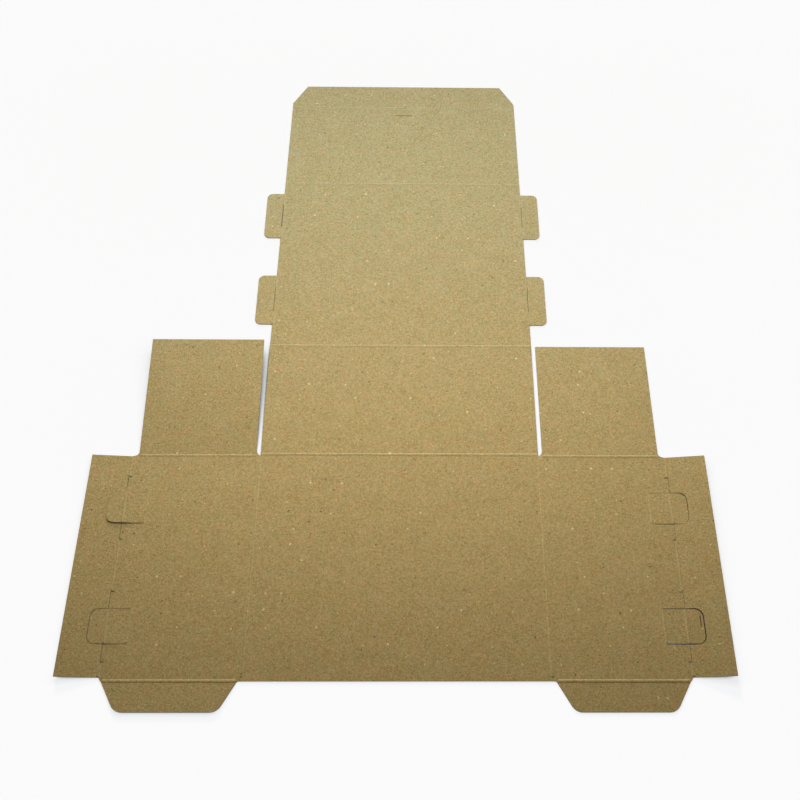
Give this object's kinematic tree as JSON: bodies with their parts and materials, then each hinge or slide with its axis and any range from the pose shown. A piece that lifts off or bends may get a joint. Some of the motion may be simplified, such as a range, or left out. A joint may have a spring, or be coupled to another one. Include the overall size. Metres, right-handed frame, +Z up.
{
  "type": "flattened cardboard box",
  "caption": "Flat die-cut blank of a small carton with hinged lid, tuck flap, side tabs and tongue locks, in thin brown recycled board.",
  "frame": {"origin": "middle of the blank's outline box, on the underside of the board", "axes": "+Y from the near edge to the tuck flap, +X to the right seen from above, +Z up from the outer face to the inner face"},
  "size_m": [0.383, 0.4758, 0.0092],
  "materials": {
    "board": "matte recycled board with fine mottle and flecks"
  },
  "bodies": {
    "root": {"carton_blank": "board"}
  },
  "joints": []
}
